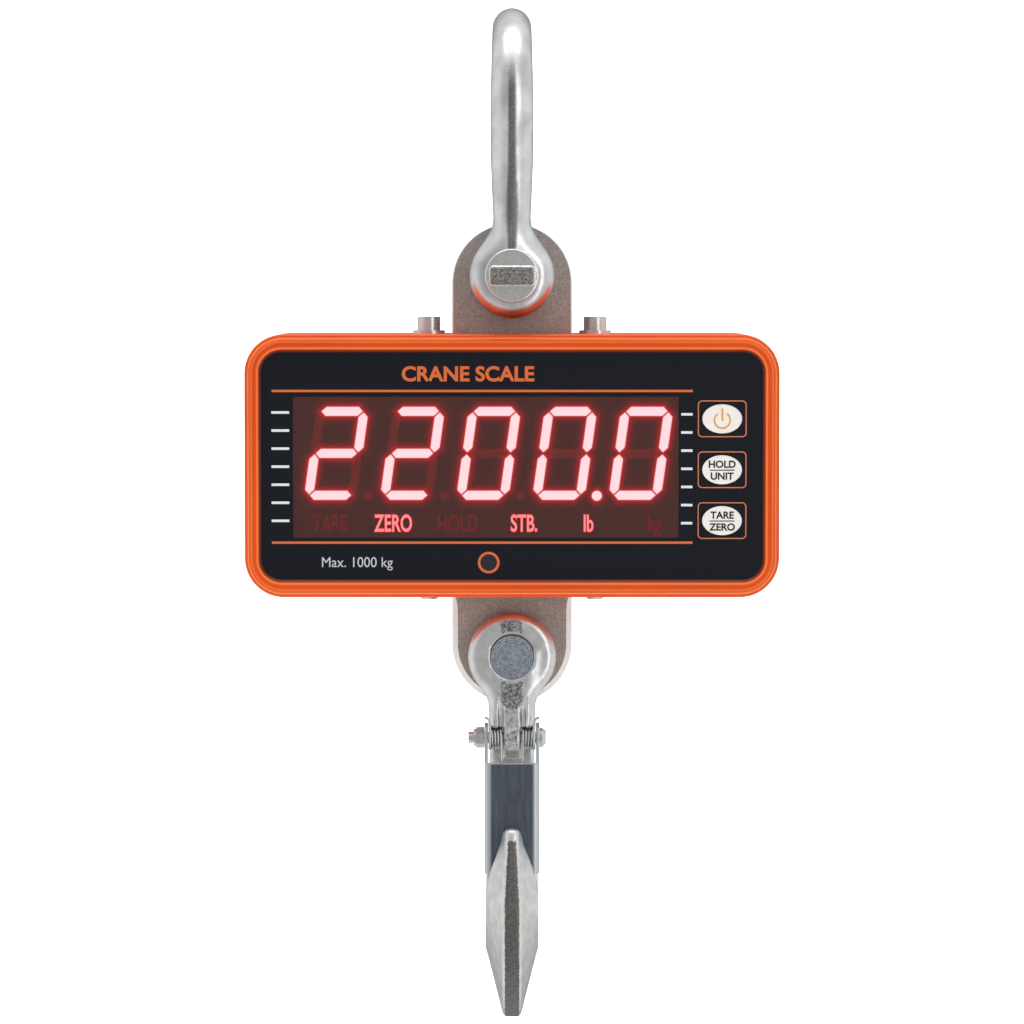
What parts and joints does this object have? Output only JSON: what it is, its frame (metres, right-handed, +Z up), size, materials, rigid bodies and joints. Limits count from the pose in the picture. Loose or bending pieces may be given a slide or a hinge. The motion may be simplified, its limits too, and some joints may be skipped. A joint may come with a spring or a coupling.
{
  "type": "crane scale",
  "caption": "Digital crane scale: load cell in a cast case with a lit weight display, hung from a bow shackle, with a latched clevis hook below.",
  "frame": {"origin": "the point inside the shackle's crown where the crane's hook bears", "axes": "+Z up along the load line, +Y from the display to the back of the case, +X to the reader's right"},
  "size_m": [0.2316, 0.0991, 0.4464],
  "materials": {
    "forged_steel": "satin",
    "blasted_steel": "matte",
    "plated_steel": "satin",
    "bright_fasteners": "polished",
    "seal_rubber": "matte",
    "orange_casting": "gloss",
    "panel_film": "satin",
    "red_window": "gloss",
    "key_white": "satin",
    "led_module": "satin",
    "circuit_board": "satin",
    "brass_spacer": "satin",
    "black_plastic": "matte",
    "battery_wrap": "satin",
    "hook_steel": "matte",
    "pin_steel": "satin",
    "latch_sheet": "satin",
    "spring_steel": "polished"
  },
  "bodies": {
    "shackle": {"shackle_bow": "forged_steel", "shackle_pin": "forged_steel"},
    "scale": {"load_cell": "blasted_steel", "gauge_covers": "plated_steel", "gauge_lead": "black_plastic", "hanger_bracket": "plated_steel", "bracket_screws": "bright_fasteners", "top_seal": "seal_rubber", "top_washers": "bright_fasteners", "top_screws": "bright_fasteners", "guide_plate": "plated_steel", "bottom_seal": "seal_rubber", "bottom_screws": "bright_fasteners", "front_case": "orange_casting", "rear_case": "orange_casting", "case_gasket": "seal_rubber", "case_screws": "bright_fasteners", "keypad_panel": "panel_film", "display_window": "red_window", "receiver_lens": "red_window", "digit_modules": "led_module", "annunciator_bar": "led_module", "display_board": "circuit_board", "board_spacers": "brass_spacer", "board_screws": "bright_fasteners", "key_switches": "led_module", "receiver_sensor": "led_module", "main_board": "circuit_board", "main_board_screws": "bright_fasteners", "buzzer": "led_module", "battery_tray": "black_plastic", "battery_cells": "battery_wrap", "battery_gasket": "seal_rubber", "battery_cover": "black_plastic", "battery_cover_screws": "bright_fasteners", "charge_socket": "black_plastic", "socket_nut": "bright_fasteners", "socket_cap_anchor": "seal_rubber", "socket_cap_rivet": "bright_fasteners"},
    "power_button": {"power_key": "key_white"},
    "hold_button": {"hold_key": "key_white"},
    "tare_button": {"tare_key": "key_white"},
    "cap": {"socket_cap": "seal_rubber"},
    "hook": {"hook_body": "hook_steel", "hook_pin": "pin_steel", "hook_roll_pin": "pin_steel", "latch_bolt": "bright_fasteners", "latch_nut": "bright_fasteners", "latch_spring": "spring_steel"},
    "latch": {"hook_latch": "latch_sheet"}
  },
  "joints": [
    {"name": "shackle_swing", "type": "hinge", "parent": "shackle", "child": "scale", "pos_m": [0, 0, -0.1], "axis": [0, 1, 0], "range_deg": [-90, 90]},
    {"name": "hook_swing", "type": "hinge", "parent": "scale", "child": "hook", "pos_m": [0, 0, -0.2665], "axis": [0, 1, 0], "range_deg": [-90, 90]},
    {"name": "latch_hinge", "type": "hinge", "parent": "hook", "child": "latch", "pos_m": [0, -0.015, -0.3025], "axis": [1, 0, 0], "range_deg": [0, 36], "stiffness_Nm_per_rad": 0.15, "springref_deg": -91.67, "deforming": ["latch_spring"]},
    {"name": "power_press", "type": "slide", "parent": "scale", "child": "power_button", "axis": [0, 1, 0], "range_m": [0, 0.0006], "stiffness_N_per_m": 2000, "springref_m": -0.0003},
    {"name": "hold_press", "type": "slide", "parent": "scale", "child": "hold_button", "axis": [0, 1, 0], "range_m": [0, 0.0006], "stiffness_N_per_m": 2000, "springref_m": -0.0003},
    {"name": "tare_press", "type": "slide", "parent": "scale", "child": "tare_button", "axis": [0, 1, 0], "range_m": [0, 0.0006], "stiffness_N_per_m": 2000, "springref_m": -0.0003},
    {"name": "socket_cap_hinge", "type": "hinge", "parent": "scale", "child": "cap", "pos_m": [0.0823, 0.0439, -0.1918], "axis": [1, 0, 0], "range_deg": [0, 95]}
  ]
}
